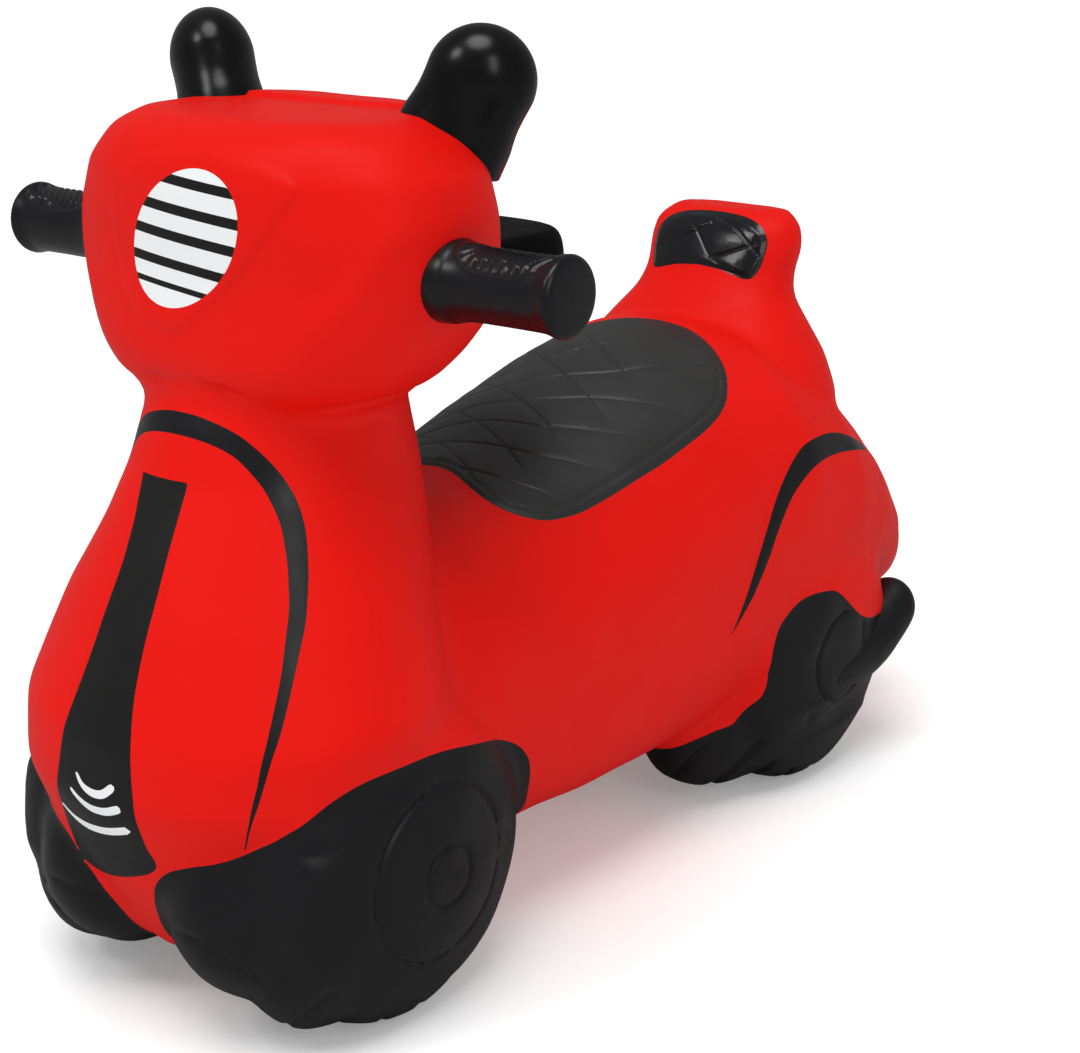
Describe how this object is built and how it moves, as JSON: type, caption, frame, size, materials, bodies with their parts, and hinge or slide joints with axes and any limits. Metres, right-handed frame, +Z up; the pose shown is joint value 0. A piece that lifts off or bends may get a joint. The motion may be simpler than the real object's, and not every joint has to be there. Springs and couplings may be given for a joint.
{
  "type": "inflatable hop scooter",
  "caption": "Ride-on inflatable scooter of hollow soft vinyl with handlebar grips, domed mirrors, a saddle with a backrest and moulded wheels",
  "frame": {"origin": "on the floor, under the middle of the toy's box", "axes": "+X to the scooter's left, -Y to its front, +Z up"},
  "size_m": [0.314, 0.5664, 0.4178],
  "materials": {
    "red_vinyl": "satin soft vinyl, sprayed red",
    "black_vinyl": "satin soft vinyl, sprayed black",
    "gloss_black_vinyl": "gloss soft vinyl, black",
    "white_vinyl": "satin soft vinyl, sprayed white",
    "valve_rubber": "matt rubber"
  },
  "bodies": {
    "root": {"body_skin": "red_vinyl", "valve_boss": "red_vinyl", "seat_pad": "black_vinyl", "backrest_pad": "black_vinyl", "apron_arch_stripe": "black_vinyl", "apron_centre_stripe": "black_vinyl", "rear_left_stripe": "black_vinyl", "rear_right_stripe": "black_vinyl", "front_left_wheel": "black_vinyl", "front_right_wheel": "black_vinyl", "rear_left_wheel": "black_vinyl", "rear_right_wheel": "black_vinyl", "exhaust_pipe": "black_vinyl", "dash_boss": "black_vinyl", "left_grip": "black_vinyl", "right_grip": "black_vinyl", "left_mirror": "gloss_black_vinyl", "right_mirror": "gloss_black_vinyl", "headlight_lens": "white_vinyl", "valve_core": "valve_rubber"}
  },
  "joints": []
}
